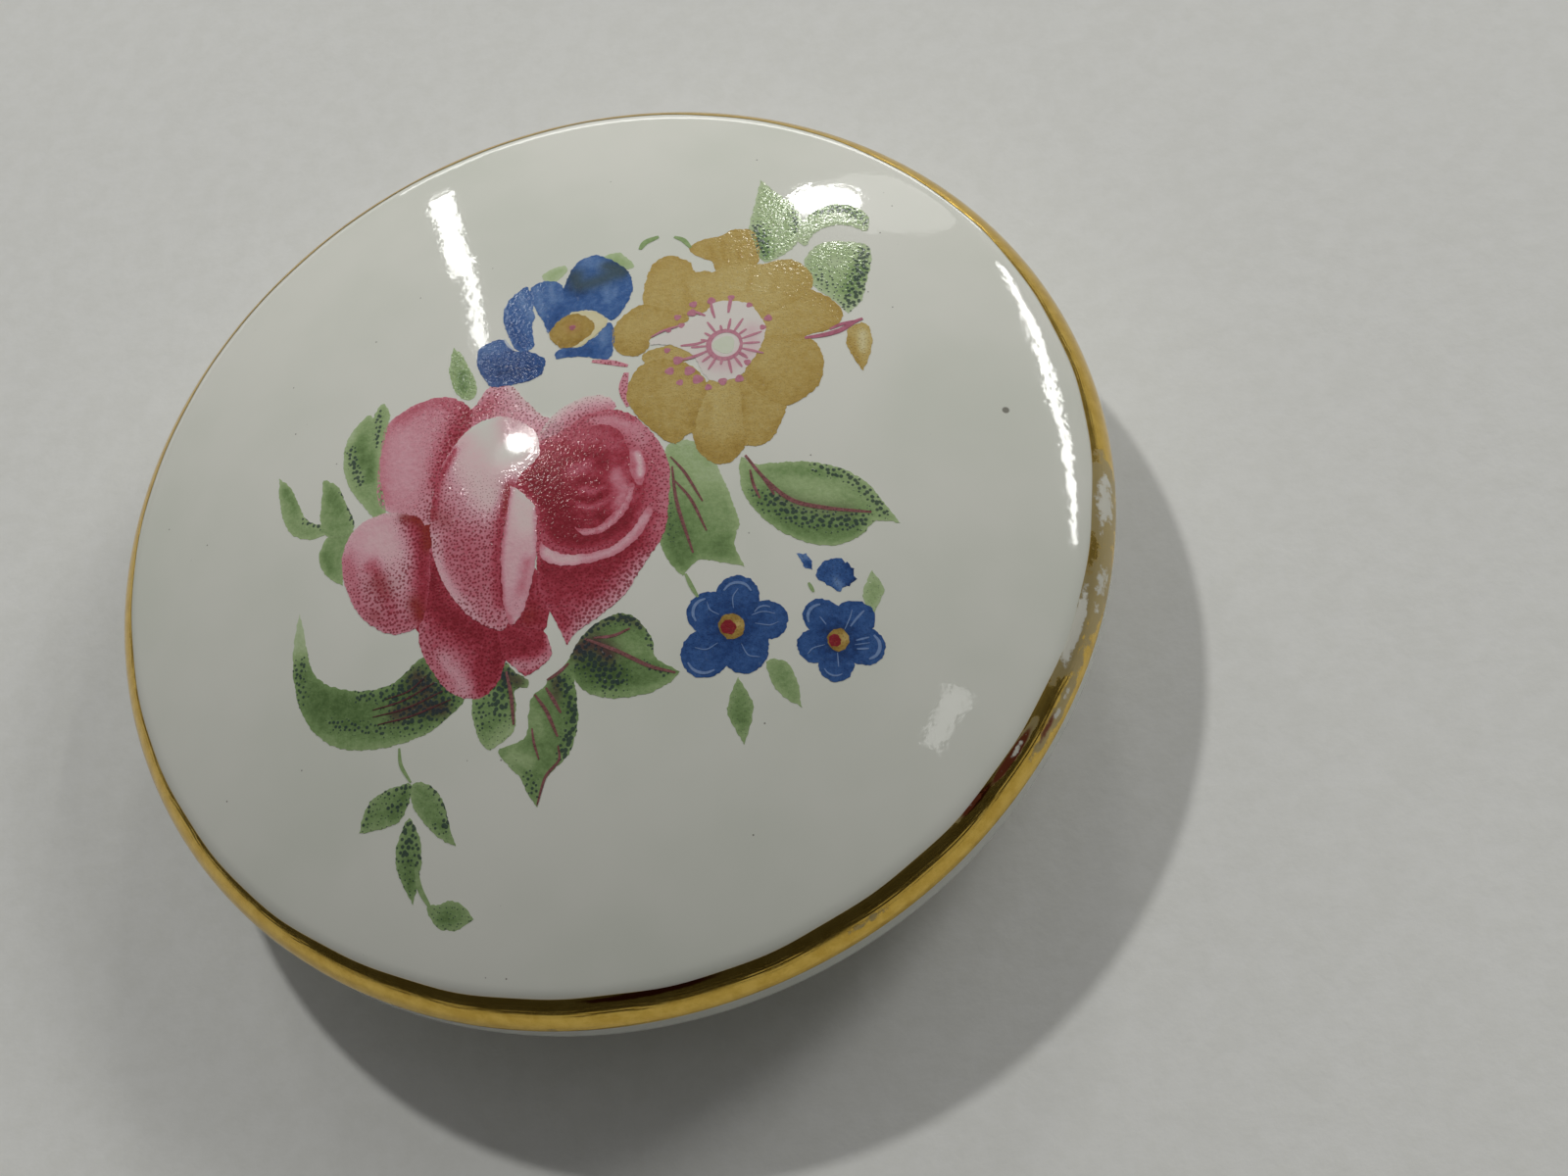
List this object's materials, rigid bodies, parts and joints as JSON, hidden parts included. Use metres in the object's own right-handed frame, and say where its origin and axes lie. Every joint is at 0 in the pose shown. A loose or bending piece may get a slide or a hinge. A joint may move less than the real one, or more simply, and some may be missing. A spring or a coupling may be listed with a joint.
{
  "type": "domed shank button",
  "caption": "Domed porcelain sew-on button with a gilded rim, a fired floral spray and a brass wire eye set in the hollow back.",
  "frame": {"origin": "centre of the plane that the foot ring stands on", "axes": "+Z out of the domed face along the button's axis, +Y towards the top of the flower spray, the sewing eye is threaded along X"},
  "size_m": [0.038, 0.038, 0.0098],
  "materials": {
    "porcelain": "clear gloss glaze over white porcelain, bare on the foot ring",
    "gilding": "thin fired gold, bright, rubbed through in places",
    "rose_enamel": "stippled pink overglaze enamel",
    "ochre_enamel": "soft ochre overglaze enamel",
    "blue_enamel": "deep blue overglaze enamel",
    "leaf_enamel": "green overglaze enamel with dark stipple",
    "stem_enamel": "purple-brown overglaze line work",
    "cement": "matt grey-white cement",
    "plate_brass": "stamped brass, lightly tarnished",
    "wire_brass": "drawn brass wire"
  },
  "bodies": {
    "root": {"porcelain_body": "porcelain", "gilt_rim": "gilding", "rose_enamel": "rose_enamel", "ochre_enamel": "ochre_enamel", "blue_enamel": "blue_enamel", "leaf_enamel": "leaf_enamel", "stem_enamel": "stem_enamel", "cement_bed": "cement", "shank_plate": "plate_brass", "shank_loop": "wire_brass"}
  },
  "joints": []
}
